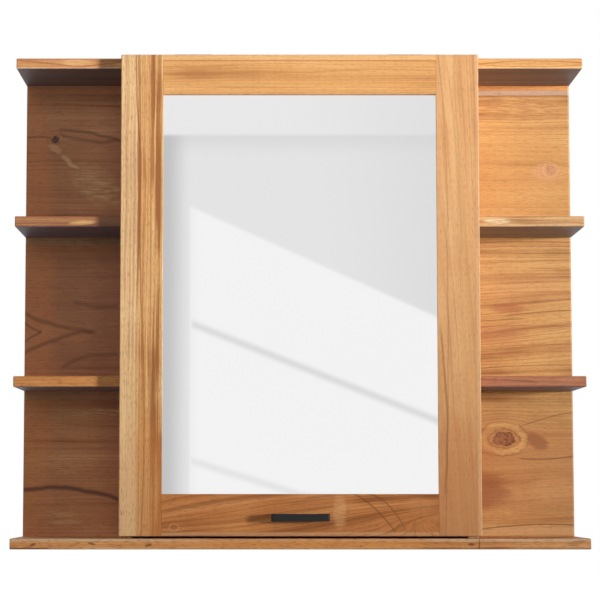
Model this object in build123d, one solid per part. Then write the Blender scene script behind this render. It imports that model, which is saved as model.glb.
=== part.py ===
"""A wall-hung teak mirror cabinet: a cupboard with a lift-up mirror door between two rows of open bays.

All sizes are in millimetres. X runs to the right along the wall, Y runs into the wall and Z runs up.
While it is being modelled, z = 0 is the underside of the bottom board and y = 0 is the wall. The finished
pieces are moved down so that the origin lies in the middle of the four wall screw holes.
"""

import math
import os

from build123d import *

# Overall size and boards
overall_width = 800.0
overall_height = 690.0
board = 15.0
top_depth = 126.0
bottom_depth = 147.0
back_board = 12.0
back_setback = 1.0
edge_round = 1.5
back_edge_round = 3.0

# Central cupboard and side shelves
box_width = 496.0
shelf_rows = (225.0, 450.0)
inner_shelf = 12.0
inner_shelf_depth = 92.0
inner_shelf_end_gap = 2.0
inner_shelf_back_gap = 1.0

# Shelf pins, in two rows of holes for each loose shelf
pin_radius = 2.5
pin_depth = 9.0
pin_reach = 10.0
pin_collar_radius = 4.0
pin_collar = 1.5
pin_flat = 1.0
pin_rows_y = (-32.0, -86.0)
pin_pitch = 32.0
pin_hole_end_gap = 1.0
lower_pin_z = 200.0
shelf_below_strut = 11.85
lower_holes_below = 1
lower_holes_above = 1
upper_holes_below = 2
upper_holes_above = 0

# Hanging rails and wall screw holes
rail_height = 50.0
rail_thickness = 15.0
wall_hole_radius = 3.25
wall_hole_inset = 53.0
wall_countersink_radius = 6.0
wall_countersink_depth = 3.0

# Door frame
door_overhang = 2.0
door_thickness = 22.0
door_gap_behind = 2.0
door_gap_below = 3.0
stile_width = 59.0
top_rail_width = 56.0
bottom_rail_width = 58.0
tenon_thickness = 7.0
tenon_length = 24.0
tenon_shoulder = 10.0
frame_lip = 5.0
rebate = 8.0

# Mirror, backing and beads
glass = 4.0
glass_edge_gap = 1.0
glass_arris = 0.6
backing = 3.0
bead_width = 10.0

# Bar pull
pull_length = 80.0
pull_height = 10.0
pull_reach = 25.0
pull_strap = 6.0
pull_corner = 3.0
pull_arris = 0.8
pull_centre_up = 26.0

# Door bumpers
bumper_radius = 4.0
bumper_squeeze = 0.3
bumper_up = 20.0

# Butt hinges
hinge_width = 50.0
hinge_leaf = 1.0
hinge_leaf_height = 12.5
hinge_pin_radius = 1.5
hinge_pin_head = 0.6
hinge_pin_head_step = 0.3
hinge_knuckles = 5
hinge_inset = 83.0
hinge_screw_spacing = 30.0

# Gas struts
strut_pivot_back = 45.0
strut_pivot_down = 250.0
strut_door_in = 18.0
strut_door_down = 55.0
strut_from_side = 14.0
door_opening = 90.0
tube_radius = 7.5
tube_wall = 1.1
tube_end = 4.0
tube_bevel = 1.0
gland = 12.0
rod_radius = 3.0
rod_show = 6.0
rod_inside = 122.0
piston = 8.0
piston_gap = 0.1
ball_radius = 4.0
stud_radius = 2.2
socket_radius = 6.0
socket_length = 12.0
socket_mouth = 0.8
socket_neck_step = 1.5
socket_neck_bevel = 3.0
bracket = 2.0
bracket_width = 18.0
bracket_height = 44.0
bracket_corner = 3.0
ear_margin = 7.0
ear_side_gap = 2.0
foot_width = 26.0
foot_height = 30.0

# Fasteners and dowels
dowel_radius = 4.0
dowel_length = 28.0
dowel_in_board = 9.0
dowel_rows_y = (-48.0, -104.0)
dowel_end_gap = 0.5
dowel_chamfer = 1.0
small_screw_radius = 1.3
small_screw_head = 2.6
small_screw_length = 11.0
back_screw_radius = 1.8
back_screw_head = 3.6
back_screw_head_height = 2.2
back_screw_length = 40.0
back_screw_inset = 35.0
pull_screw_radius = 2.0
pull_screw_head = 4.0
pull_screw_head_height = 2.4
pull_screw_bite = 10.0
screw_hole_end_gap = 1.0

# Clearances
turning_gap = 0.05
glue_gap = 0.05
free_gap = 0.3
open_pivot_gap = 0.3
near = 0.001

# Places worked out from the sizes above
half_width = overall_width / 2
top_under = overall_height - board
upright_outer = box_width / 2
upright_inner = upright_outer - board
door_width = box_width + 2 * door_overhang
door_back = -(top_depth + door_gap_behind)
door_front = door_back - door_thickness
door_bottom = board + door_gap_below
sight_half = door_width / 2 - stile_width
sight_bottom = door_bottom + bottom_rail_width
sight_top = overall_height - top_rail_width
rebate_front = door_front + frame_lip
knuckle_bore = hinge_pin_radius + turning_gap
knuckle_radius = knuckle_bore + hinge_leaf
hinge_y = -(top_depth + door_gap_behind / 2)
hinge_z = overall_height + free_gap + knuckle_radius
hinge_x = upright_inner - hinge_inset
wall_hole_low = board + rail_height / 2
wall_hole_high = top_under - rail_height / 2
origin_height = (wall_hole_low + wall_hole_high) / 2
strut_x = upright_inner - strut_from_side
strut_foot = (hinge_y + strut_pivot_back, hinge_z - strut_pivot_down)
strut_head = (hinge_y + strut_door_in, hinge_z - strut_door_down)
upper_pin_z = strut_foot[1] - bracket_height / 2 - shelf_below_strut - inner_shelf - pin_flat


def block(x, y, z):
    """A block between two values along each axis."""
    size = [abs(high - low) for low, high in (x, y, z)]
    middle = [(low + high) / 2 for low, high in (x, y, z)]
    return Pos(*middle) * Box(*size)


def rod_along(axis, radius, start, end, across):
    """A round bar along X, Y or Z, from start to end, through a point on the other two axes."""
    middle = (start + end) / 2
    length = abs(end - start)
    if axis == "X":
        return Pos(middle, *across) * Rot(0, 90, 0) * Cylinder(radius, length)
    if axis == "Y":
        return Pos(across[0], middle, across[1]) * Rot(90, 0, 0) * Cylinder(radius, length)
    return Pos(*across, middle) * Cylinder(radius, length)


def ease(solid, sides, radius=edge_round):
    """Rounds the edges on the named sides of a board, but leaves those against the wall sharp."""
    box = solid.bounding_box()
    planes = {
        "left": ("X", box.min.X),
        "right": ("X", box.max.X),
        "front": ("Y", box.min.Y),
        "bottom": ("Z", box.min.Z),
        "top": ("Z", box.max.Z),
    }

    def chosen(edge):
        middle = edge.center()
        if abs(middle.Y - box.max.Y) < near:
            return False
        return any(abs(getattr(middle, planes[s][0]) - planes[s][1]) < near for s in sides)

    return fillet(solid.edges().filter_by(chosen), radius)


def wood_screw(radius, head_radius, head_height, length):
    """A countersunk screw: the head's face is at z = 0 and the point is below it."""
    tip = 2 * radius
    with BuildPart() as screw:
        with BuildSketch(Plane.XZ):
            with BuildLine():
                Polyline(
                    (0, 0),
                    (head_radius, 0),
                    (radius, -head_height),
                    (radius, -length + tip),
                    (0, -length),
                    close=True,
                )
            make_face()
        revolve(axis=Axis.Z)
    return screw.part


def screw_hole(radius, head_radius, head_height, length):
    """The hole that the same screw goes in, a little wider and deeper than the screw."""
    return wood_screw(radius + glue_gap, head_radius + glue_gap, head_height, length + screw_hole_end_gap)


# The two ways in which screws point: their head faces the room or the wall
facing_room = Rot(90, 0, 0)
facing_wall = Rot(-90, 0, 0)


def facing_middle(side):
    """Turns a screw so that its head faces the middle of the cabinet."""
    return Rot(0, -90 * side, 0)


def group(pieces):
    """Several separate solids that are written to one file."""
    return Compound(children=list(pieces))


# Dowels
def upright_dowel_places():
    """Where the dowels cross the joints between the uprights and the top and bottom boards."""
    x = (upright_outer + upright_inner) / 2
    return [
        (side * x, y, level)
        for side in (-1, 1)
        for y in dowel_rows_y
        for level in (board, top_under)
    ]


def dowel(length=dowel_length, radius=dowel_radius, bevel=dowel_chamfer):
    """A dowel along Z, centred, with bevelled ends."""
    pin = Cylinder(radius, length)
    return chamfer(pin.edges(), bevel) if bevel else pin


def dowel_hole():
    return dowel(dowel_length + 2 * dowel_end_gap, dowel_radius + glue_gap, 0)


def upright_dowels(make):
    """Dowels that stand between the uprights and the top and bottom boards."""
    shift = dowel_length / 2 - dowel_in_board
    placed = []
    for x, y, level in upright_dowel_places():
        up = 1 if level == board else -1
        placed.append(Pos(x, y, level + up * shift) * make())
    return placed


def shelf_dowels(make, side):
    """Dowels that run from the outer face of an upright into the ends of the side shelves."""
    shift = dowel_length / 2 - dowel_in_board
    return [
        Pos(side * (upright_outer + shift), y, row + board / 2) * Rot(0, 90, 0) * make()
        for row in shelf_rows
        for y in dowel_rows_y
    ]


def back_screw_places():
    """Screws through the bay backs, two into the back edge of each side shelf."""
    bay = half_width - upright_outer
    for side in (-1, 1):
        for row in shelf_rows:
            for inset in (back_screw_inset, bay - back_screw_inset):
                yield side * (upright_outer + inset), row + board / 2


def back_screws(make):
    sizes = (back_screw_radius, back_screw_head, back_screw_head_height, back_screw_length)
    return [Pos(x, 0, z) * facing_wall * make(*sizes) for x, z in back_screw_places()]


# Loose shelf pins
def pin_levels():
    """The levels of the pin holes: a short row round each level that is in use."""
    for step in range(-lower_holes_below, lower_holes_above + 1):
        yield lower_pin_z + step * pin_pitch
    for step in range(-upper_holes_below, upper_holes_above + 1):
        yield upper_pin_z + step * pin_pitch


def shelf_pin():
    """A pin along X: the stub goes into the upright and the flatted nose carries the shelf."""
    with BuildPart() as pin:
        with BuildSketch(Plane.XY):
            with BuildLine():
                Polyline(
                    (-pin_depth, 0),
                    (-pin_depth, pin_radius),
                    (0, pin_radius),
                    (0, pin_collar_radius),
                    (pin_collar, pin_collar_radius),
                    (pin_collar, pin_radius),
                    (pin_reach, pin_radius),
                    (pin_reach, 0),
                    close=True,
                )
            make_face()
        revolve(axis=Axis.X)
    above_flat = block((pin_collar, pin_reach), (-pin_radius, pin_radius), (pin_flat, pin_radius))
    return pin.part - above_flat


def shelf_pins():
    pins = []
    for level in (lower_pin_z, upper_pin_z):
        for y in pin_rows_y:
            pins.append(Pos(-upright_inner, y, level) * shelf_pin())
            pins.append(Pos(upright_inner, y, level) * Rot(0, 0, 180) * shelf_pin())
    return pins


# Carcass boards
def top_board():
    blank = block((-half_width, half_width), (-top_depth, 0), (top_under, overall_height))
    blank = ease(blank, ("front", "left", "right"))
    for hole in upright_dowels(dowel_hole):
        blank -= hole
    for hole in hinge_case_screws(screw_hole):
        blank -= hole
    return blank


def bottom_board():
    blank = block((-half_width, half_width), (-bottom_depth, 0), (0, board))
    blank = ease(blank, ("front", "left", "right"))
    for hole in upright_dowels(dowel_hole):
        blank -= hole
    return blank


def upright(side):
    blank = block((side * upright_inner, side * upright_outer), (-top_depth, 0), (board, top_under))
    for hole in upright_dowels(dowel_hole) + shelf_dowels(dowel_hole, side):
        blank -= hole
    for y in pin_rows_y:
        for level in pin_levels():
            depth = side * (upright_inner + pin_depth + pin_hole_end_gap)
            blank -= rod_along("X", pin_radius + turning_gap, side * upright_inner, depth, (y, level))
    for hole in strut_case_screws(screw_hole, side):
        blank -= hole
    return blank


def box_back():
    blank = block((-upright_inner, upright_inner), (-back_board, 0), (board, top_under))
    for x, z in wall_hole_places():
        blank -= rod_along("Y", wall_hole_radius, -back_board, 0, (x, z))
    return blank


def bay_back(side):
    outer = half_width - back_setback
    blank = block((side * upright_outer, side * outer), (-back_board, 0), (board, top_under))
    edges = blank.edges().filter_by(Axis.Z).sort_by(lambda edge: side * edge.center().X - edge.center().Y)
    blank = fillet(edges[-1:], back_edge_round)
    for hole in back_screws(screw_hole):
        blank -= hole
    return blank


def side_shelf(side, row):
    blank = block((side * upright_outer, side * half_width), (-top_depth, -back_board), (row, row + board))
    blank = ease(blank, ("front", "right" if side > 0 else "left"))
    for hole in shelf_dowels(dowel_hole, side) + back_screws(screw_hole):
        blank -= hole
    return blank


def loose_shelf(pin_level):
    half = upright_inner - inner_shelf_end_gap
    back = -(back_board + inner_shelf_back_gap)
    under = pin_level + pin_flat
    blank = block((-half, half), (back - inner_shelf_depth, back), (under, under + inner_shelf))
    return ease(blank, ("front",))


def wall_hole_places():
    for side in (-1, 1):
        for z in (wall_hole_low, wall_hole_high):
            yield side * (upright_inner - wall_hole_inset), z


def hanging_rail(bottom):
    front = -(back_board + rail_thickness)
    blank = block((-upright_inner, upright_inner), (front, -back_board), (bottom, bottom + rail_height))
    for x, z in wall_hole_places():
        if bottom < z < bottom + rail_height:
            blank -= rod_along("Y", wall_hole_radius, front, -back_board, (x, z))
            cone = Cone(wall_hole_radius, wall_countersink_radius, wall_countersink_depth)
            blank -= Pos(x, front + wall_countersink_depth / 2, z) * facing_room * cone
    return blank


# Door frame: the stiles run the full height and the rails are tenoned between them
def tenon(side, low, high, gap):
    """The tongue of a rail, or with a gap the slot in a stile that it fits."""
    middle = door_front + frame_lip + tenon_thickness / 2
    half = tenon_thickness / 2 + gap
    return block(
        (side * sight_half, side * (sight_half + tenon_length + 5 * gap)),
        (middle - half, middle + half),
        (low + tenon_shoulder - gap, high - tenon_shoulder + gap),
    )


def mirror_rebate():
    half = sight_half + rebate
    return block((-half, half), (rebate_front, door_back), (sight_bottom - rebate, sight_top + rebate))


def stile(side):
    outer = door_width / 2
    blank = block(
        (side * sight_half, side * outer), (door_front, door_back), (door_bottom, overall_height)
    )
    box = blank.bounding_box()

    def outside(edge):
        middle = edge.center()
        ends = abs(middle.Z - box.min.Z) < near or abs(middle.Z - box.max.Z) < near
        inner = abs(middle.X - side * sight_half) < near
        return not inner and (ends or abs(middle.X - side * outer) < near)

    blank = fillet(blank.edges().filter_by(outside), edge_round)
    blank -= mirror_rebate()
    blank -= tenon(side, door_bottom, sight_bottom, glue_gap)
    blank -= tenon(side, sight_top, overall_height, glue_gap)
    for hole in strut_door_screws(screw_hole, side):
        blank -= hole
    return blank


def door_rail(low, high, outer_side):
    blank = block((-sight_half, sight_half), (door_front, door_back), (low, high))
    outer = high if outer_side == "top" else low
    long_edges = blank.edges().filter_by(Axis.X)
    blank = fillet(long_edges.filter_by(lambda edge: abs(edge.center().Z - outer) < near), edge_round)
    blank += [tenon(side, low, high, 0) for side in (-1, 1)]
    return blank - mirror_rebate()


def door_top_rail():
    blank = door_rail(sight_top, overall_height, "top")
    for hole in hinge_door_screws(screw_hole):
        blank -= hole
    return blank


def door_bottom_rail():
    blank = door_rail(door_bottom, sight_bottom, "bottom")
    for x in pull_screw_x:
        hole = pull_screw_radius + 2 * turning_gap
        blank -= rod_along("Y", hole, door_front, door_back, (x, pull_z))
    return blank


def mirror_plate(front, thickness):
    """A plate that fills the rebate, less a gap all round."""
    half = sight_half + rebate - glass_edge_gap
    low = sight_bottom - rebate + glass_edge_gap
    high = sight_top + rebate - glass_edge_gap
    return block((-half, half), (front, front + thickness), (low, high))


def mirror_glass():
    plate = mirror_plate(rebate_front, glass)
    return chamfer(plate.faces().sort_by(Axis.Y)[0].edges(), glass_arris)


def mirror_backing():
    return mirror_plate(rebate_front + glass, backing)


def bead(length, place):
    """A bead with mitred ends: its long edge is at y = 0 of its own outline."""
    thick = door_thickness - frame_lip - glass - backing
    half = length / 2
    with BuildPart() as strip:
        with BuildSketch(Plane.XY):
            with BuildLine():
                Polyline(
                    (-half, 0), (half, 0), (half - bead_width, bead_width), (-half + bead_width, bead_width),
                    close=True,
                )
            make_face()
        extrude(amount=thick)
    piece = strip.part
    inner = piece.edges().filter_by(Axis.X).sort_by(lambda edge: edge.center().Y + edge.center().Z)[-1]
    return place * fillet([inner], edge_round)


def beads():
    """The four beads. Each is turned so that its outline lies upright, with its depth towards the wall."""
    upright_frame = Rot(90, 0, 0)
    half = sight_half + rebate
    low = sight_bottom - rebate
    high = sight_top + rebate
    wide = 2 * half
    tall = high - low
    middle = (low + high) / 2
    front = rebate_front + glass + backing
    to_wall = Rot(0, 180, 0)
    return {
        "bead_bottom": bead(wide, Pos(0, front, low) * upright_frame * to_wall),
        "bead_top": bead(wide, Pos(0, front, high) * upright_frame * to_wall * Rot(0, 0, 180)),
        "bead_left": bead(tall, Pos(-half, front, middle) * upright_frame * to_wall * Rot(0, 0, 90)),
        "bead_right": bead(tall, Pos(half, front, middle) * upright_frame * to_wall * Rot(0, 0, -90)),
    }


# Bar pull
pull_z = door_bottom + pull_centre_up
pull_screw_x = [side * (pull_length / 2 - pull_strap / 2) for side in (-1, 1)]


def pull_handle():
    """A flat strap bent to a staple, standing on two legs."""
    half = pull_length / 2
    inner = half - pull_strap
    with BuildPart() as strap:
        with BuildSketch(Plane.XY.offset(pull_z - pull_height / 2)):
            with BuildLine():
                FilletPolyline(
                    (-half, door_front),
                    (-half, door_front - pull_reach),
                    (half, door_front - pull_reach),
                    (half, door_front),
                    radius=pull_corner,
                )
                Line((half, door_front), (inner, door_front))
                FilletPolyline(
                    (inner, door_front),
                    (inner, door_front - pull_reach + pull_strap),
                    (-inner, door_front - pull_reach + pull_strap),
                    (-inner, door_front),
                    radius=pull_corner / 2,
                )
                Line((-inner, door_front), (-half, door_front))
            make_face()
        extrude(amount=pull_height)
    handle = strap.part
    front = handle.faces().filter_by(Axis.Y).sort_by(Axis.Y)[0]
    handle = fillet(front.edges().filter_by(Axis.X), pull_arris)
    for x in pull_screw_x:
        bite = door_front - pull_screw_bite - screw_hole_end_gap
        handle -= rod_along("Y", pull_screw_radius + turning_gap, bite, door_front, (x, pull_z))
    return handle


def handle_screws():
    screws = []
    for x in pull_screw_x:
        end = door_front - pull_screw_bite
        shank = rod_along("Y", pull_screw_radius, end, door_back, (x, pull_z))
        head = rod_along("Y", pull_screw_head, door_back, door_back + pull_screw_head_height, (x, pull_z))
        rim = head.edges().filter_by(GeomType.CIRCLE).sort_by(Axis.Y)[-1]
        screws.append(shank + fillet([rim], pull_screw_head_height / 2))
    return screws


def door_bumpers():
    """Soft buttons on the front edges of the uprights, low down."""
    x = (upright_inner + upright_outer) / 2
    front = -top_depth - door_gap_behind + bumper_squeeze
    return [
        rod_along("Y", bumper_radius, front, -top_depth, (side * x, door_bottom + bumper_up))
        for side in (-1, 1)
    ]


# Butt hinges: the knuckles stand on the top edge, behind the door
knuckle_length = (hinge_width - (hinge_knuckles - 1) * free_gap) / hinge_knuckles


def hinge_leaf_solid(side, way):
    """One leaf. way is 1 for the leaf on the case and -1 for the leaf on the door."""
    middle = side * hinge_x
    left = middle - hinge_width / 2
    plate_top = hinge_z - knuckle_radius - free_gap
    thickness = (hinge_y, hinge_y + way * hinge_leaf)
    leaf = block((left, left + hinge_width), thickness, (plate_top - hinge_leaf_height, plate_top))
    first = 0 if way == 1 else 1
    for number in range(first, hinge_knuckles, 2):
        start = left + number * (knuckle_length + free_gap)
        end = start + knuckle_length
        web_top = hinge_z - knuckle_bore - hinge_leaf / 4
        leaf += block((start, end), thickness, (plate_top - near, web_top))
        leaf += rod_along("X", knuckle_radius, start, end, (hinge_y, hinge_z))
        leaf -= rod_along("X", knuckle_bore, start, end, (hinge_y, hinge_z))
    holes = hinge_case_screws(screw_hole) if way == 1 else hinge_door_screws(screw_hole)
    for hole in holes:
        leaf -= hole
    return leaf


def hinge_pin(side):
    middle = side * hinge_x
    half = hinge_width / 2 + turning_gap
    pin = rod_along("X", hinge_pin_radius, middle - half, middle + half, (hinge_y, hinge_z))
    head = knuckle_radius - hinge_pin_head_step
    for end in (-1, 1):
        start = middle + end * half
        pin += rod_along("X", head, start, start + end * hinge_pin_head, (hinge_y, hinge_z))
    return pin


def hinge_screw_places():
    z = hinge_z - knuckle_radius - free_gap - hinge_leaf_height / 2
    for side in (-1, 1):
        for step in (-1, 1):
            yield side * hinge_x + step * hinge_screw_spacing / 2, z


def hinge_case_screws(make):
    sizes = (small_screw_radius, small_screw_head, hinge_leaf, small_screw_length)
    return [Pos(x, hinge_y, z) * facing_room * make(*sizes) for x, z in hinge_screw_places()]


def hinge_door_screws(make):
    sizes = (small_screw_radius, small_screw_head, hinge_leaf, small_screw_length)
    return [Pos(x, hinge_y, z) * facing_wall * make(*sizes) for x, z in hinge_screw_places()]


# Gas struts: each stands on a ball on the upright and pushes a ball on the door
strut_length = math.dist(strut_foot, strut_head)
strut_lean = math.degrees(math.atan2(strut_foot[0] - strut_head[0], strut_head[1] - strut_foot[1]))
tube_top = strut_length - socket_length - rod_show
ear_inner = upright_inner - ear_side_gap - bracket


def ball(place):
    """A ball, turned so that its seam is clear of the stud."""
    return Pos(*place) * Rot(0, 0, 90) * Sphere(ball_radius)


def on_strut(side):
    """Places a solid that is made upright, with its foot ball at the origin, on a strut's own line."""
    return Pos(side * strut_x, *strut_foot) * Rot(strut_lean, 0, 0)


def turned(points):
    """A solid turned about Z from an outline of radius and height points that starts on the axis."""
    with BuildPart() as shape:
        with BuildSketch(Plane.XZ):
            with BuildLine():
                Polyline(*points, close=True)
            make_face()
        revolve(axis=Axis.Z)
    return shape.part


def ball_socket(side):
    """A rounded end piece: the ball sits at its origin and the stud comes in from the side."""
    neck = socket_radius - socket_neck_step
    with BuildPart() as shape:
        with BuildSketch(Plane.XZ):
            with BuildLine():
                RadiusArc((0, -socket_radius), (socket_radius, 0), -socket_radius)
                Polyline(
                    (socket_radius, 0),
                    (socket_radius, socket_length - socket_neck_bevel),
                    (neck, socket_length),
                    (0, socket_length),
                    (0, -socket_radius),
                )
            make_face()
        revolve(axis=Axis.Z)
    mouth = stud_radius + socket_mouth
    solid = shape.part - Rot(0, 0, 90) * Sphere(ball_radius + turning_gap)
    return solid - rod_along("X", mouth, 0, side * 2 * socket_radius, (0, 0))


def strut_tube(side):
    bore = tube_radius - tube_wall
    hole = rod_radius + turning_gap
    outline = [
        (0, socket_length),
        (tube_radius - tube_bevel, socket_length),
        (tube_radius, socket_length + tube_bevel),
        (tube_radius, tube_top - tube_bevel),
        (tube_radius - tube_bevel, tube_top),
        (hole, tube_top),
        (hole, tube_top - gland),
        (bore, tube_top - gland),
        (bore, socket_length + tube_end),
        (0, socket_length + tube_end),
    ]
    return on_strut(side) * turned(outline)


def strut_rod(side):
    head = tube_radius - tube_wall - piston_gap
    low = tube_top - rod_inside
    high = strut_length - socket_length
    outline = [
        (0, low),
        (head, low),
        (head, low + piston),
        (rod_radius, low + piston),
        (rod_radius, high),
        (0, high),
    ]
    return on_strut(side) * turned(outline)


def strut_upper_ball(side):
    """The ball on the door's side. Its stud ends just short of the ear, which is the pivot left open."""
    stud_end = ear_inner - open_pivot_gap
    stud = rod_along("X", stud_radius, side * strut_x, side * stud_end, strut_head)
    return stud + ball((side * strut_x, *strut_head))


def rounded_plate(width, height, thickness, corner):
    return extrude(RectangleRounded(width, height, corner), thickness)


def strut_case_bracket(side):
    """A plate on the inner face of the upright, with a ball stud in the middle."""
    plate = rounded_plate(bracket_height, bracket_width, bracket, bracket_corner)
    face = side * (upright_inner - bracket)
    plate = Pos(face, *strut_foot) * Rot(0, 90 * side, 0) * plate
    stud = rod_along("X", stud_radius, side * strut_x, face + side * bracket / 2, strut_foot)
    solid = plate + stud + ball((side * strut_x, *strut_foot))
    for hole in strut_case_screws(screw_hole, side):
        solid -= hole
    return solid


def strut_case_screws(make, side):
    sizes = (small_screw_radius, small_screw_head, bracket, small_screw_length)
    face = upright_inner - bracket
    step = bracket_height / 2 - bracket_width / 3
    y, z = strut_foot
    return [Pos(side * face, y, z + way * step) * facing_middle(side) * make(*sizes) for way in (-1, 1)]


def strut_door_bracket(side):
    """A foot on the back of the stile, with an ear that stands up beside the strut."""
    outer = ear_inner + bracket
    y, z = strut_head
    foot = block(
        (side * (outer - foot_width), side * outer),
        (door_back, door_back + bracket),
        (z - foot_height / 2, z + foot_height / 2),
    )
    low = (door_back, z - foot_height / 2)
    high = (door_back, z + foot_height / 2)
    with BuildPart() as ear:
        with BuildSketch(Plane.YZ.offset(min(side * ear_inner, side * outer))):
            with BuildLine():
                Polyline((y, z - ear_margin), low, high, (y, z + ear_margin))
                ThreePointArc((y, z + ear_margin), (y + ear_margin, z), (y, z - ear_margin))
            make_face()
        extrude(amount=bracket)
    solid = foot + ear.part
    for hole in strut_door_screws(screw_hole, side):
        solid -= hole
    return solid


def strut_door_screws(make, side):
    sizes = (small_screw_radius, small_screw_head, bracket, small_screw_length)
    x = side * (ear_inner + bracket - foot_width * 2 / 3)
    z = strut_head[1]
    step = foot_height / 4
    return [Pos(x, door_back + bracket, z + way * step) * facing_wall * make(*sizes) for way in (-1, 1)]


def all_nodes():
    """Every piece by its name."""
    nodes = {
        "top_board": top_board(),
        "bottom_board": bottom_board(),
        "box_back": box_back(),
        "upper_hanging_rail": hanging_rail(top_under - rail_height),
        "lower_hanging_rail": hanging_rail(board),
        "inner_lower_shelf": loose_shelf(lower_pin_z),
        "inner_upper_shelf": loose_shelf(upper_pin_z),
        "shelf_pins": group(shelf_pins()),
        "carcass_dowels": group(upright_dowels(dowel)),
        "shelf_dowels": group(shelf_dowels(dowel, -1) + shelf_dowels(dowel, 1)),
        "back_screws": group(back_screws(wood_screw)),
        "door_top_rail": door_top_rail(),
        "door_bottom_rail": door_bottom_rail(),
        "mirror_glass": mirror_glass(),
        "mirror_backing": mirror_backing(),
        "pull_handle": pull_handle(),
        "handle_screws": group(handle_screws()),
        "door_bumpers": group(door_bumpers()),
        "hinge_case_screws": group(hinge_case_screws(wood_screw)),
        "hinge_door_screws": group(hinge_door_screws(wood_screw)),
        "strut_case_screws": group(strut_case_screws(wood_screw, -1) + strut_case_screws(wood_screw, 1)),
        "strut_door_screws": group(strut_door_screws(wood_screw, -1) + strut_door_screws(wood_screw, 1)),
    }
    nodes.update(beads())
    for name, side in (("left", -1), ("right", 1)):
        nodes[f"{name}_upright"] = upright(side)
        nodes[f"{name}_bay_back"] = bay_back(side)
        nodes[f"{name}_lower_shelf"] = side_shelf(side, shelf_rows[0])
        nodes[f"{name}_upper_shelf"] = side_shelf(side, shelf_rows[1])
        nodes[f"door_{name}_stile"] = stile(side)
        nodes[f"{name}_hinge_case_leaf"] = hinge_leaf_solid(side, 1)
        nodes[f"{name}_hinge_door_leaf"] = hinge_leaf_solid(side, -1)
        nodes[f"{name}_hinge_pin"] = hinge_pin(side)
        nodes[f"{name}_strut_case_bracket"] = strut_case_bracket(side)
        nodes[f"{name}_strut_lower_socket"] = on_strut(side) * ball_socket(side)
        nodes[f"{name}_strut_tube"] = strut_tube(side)
        nodes[f"{name}_strut_rod"] = strut_rod(side)
        top_end = Pos(0, 0, strut_length) * Rot(180, 0, 0)
        nodes[f"{name}_strut_upper_socket"] = on_strut(side) * top_end * ball_socket(side)
        nodes[f"{name}_strut_upper_ball"] = strut_upper_ball(side)
        nodes[f"{name}_strut_door_bracket"] = strut_door_bracket(side)
    return nodes


def strut_motion():
    """How far each strut turns and lengthens when the door opens all the way."""
    turn = math.radians(door_opening)
    y, z = strut_door_in, -strut_door_down
    open_head = (
        hinge_y + y * math.cos(turn) + z * math.sin(turn),
        hinge_z - y * math.sin(turn) + z * math.cos(turn),
    )
    lean = math.degrees(math.atan2(strut_foot[0] - open_head[0], open_head[1] - strut_foot[1]))
    return lean - strut_lean, math.dist(strut_foot, open_head) - strut_length


def main():
    os.makedirs("parts", exist_ok=True)
    to_origin = Pos(0, 0, -origin_height)
    for name, shape in all_nodes().items():
        export_step(to_origin * shape, f"parts/{name}.step")
    turn, stroke = strut_motion()
    print("origin above the underside", origin_height)
    print("hinge axis", hinge_y, hinge_z - origin_height)
    print("strut foot", strut_x, strut_foot[0], strut_foot[1] - origin_height, "lean", strut_lean)
    print("strut turns", turn, "and lengthens", stroke, "over", door_opening)


main()
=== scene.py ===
# %% [markdown]
# # A teak mirror cabinet that hangs on a wall
#
# The solids of this cabinet are already built: boards, door frame, glass, hinges and gas struts.
# This lesson gives them their looks. It sets up the camera and the light, makes one recipe for teak
# that is tuned board by board, finishes the mirror and the metal, and models the small fasteners
# that the solids only hint at.

# %% Load the finished solids
import math

import bpy
from mathutils import Matrix, Vector


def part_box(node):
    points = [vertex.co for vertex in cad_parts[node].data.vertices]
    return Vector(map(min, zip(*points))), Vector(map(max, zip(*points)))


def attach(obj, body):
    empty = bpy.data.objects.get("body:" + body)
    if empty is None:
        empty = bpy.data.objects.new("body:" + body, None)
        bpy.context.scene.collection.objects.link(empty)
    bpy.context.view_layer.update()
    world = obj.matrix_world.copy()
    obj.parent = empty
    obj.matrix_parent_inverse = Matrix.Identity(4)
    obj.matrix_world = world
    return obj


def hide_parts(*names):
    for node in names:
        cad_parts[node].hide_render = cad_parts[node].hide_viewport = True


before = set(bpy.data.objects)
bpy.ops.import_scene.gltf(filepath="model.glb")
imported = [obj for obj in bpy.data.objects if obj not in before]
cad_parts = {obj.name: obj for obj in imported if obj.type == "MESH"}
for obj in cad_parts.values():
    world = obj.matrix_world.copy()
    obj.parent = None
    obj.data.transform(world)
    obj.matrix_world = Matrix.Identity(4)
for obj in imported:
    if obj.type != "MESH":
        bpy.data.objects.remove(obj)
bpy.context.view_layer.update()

# %% [markdown]
# ## The camera
#
# The cabinet is looked at from low down: the eye is only a little higher than the bottom board, so
# every shelf shows its underside and none shows its top. A long lens keeps the boards almost
# parallel. Most of the climb from the low eye to the middle of the cabinet comes from tipping the
# camera up, and a small shift of the lens does the rest. The whole climb could come from the shift,
# which keeps uprights parallel, but a shift that large would push the cabinet out of every other
# view.

# %% Place the camera
eye = (-0.050, -2.786, -0.268)
look_up = math.radians(4.618)
lens_mm = 114.61
lens_shift = (0.06, 0.065)

camera_data = bpy.data.cameras.new("front_camera")
camera_data.lens = lens_mm
camera_data.shift_x, camera_data.shift_y = lens_shift
camera = bpy.data.objects.new("front_camera", camera_data)
camera.location = eye
camera.rotation_euler = (math.pi / 2 + look_up, 0, 0)
bpy.context.scene.collection.objects.link(camera)
bpy.context.scene.camera = camera
print("camera at", eye, "with a lens of", lens_mm, "mm")

# %% [markdown]
# ## A small language for patterns
#
# A material is a network of small sums. Wiring dozens of them by hand is slow to read, so a field
# stands for one value that varies over the surface, and adding or multiplying fields adds the Math
# nodes. Everything is worked out from the place on the piece itself, in metres, so a pattern stays
# in the wood when the door swings.


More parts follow.
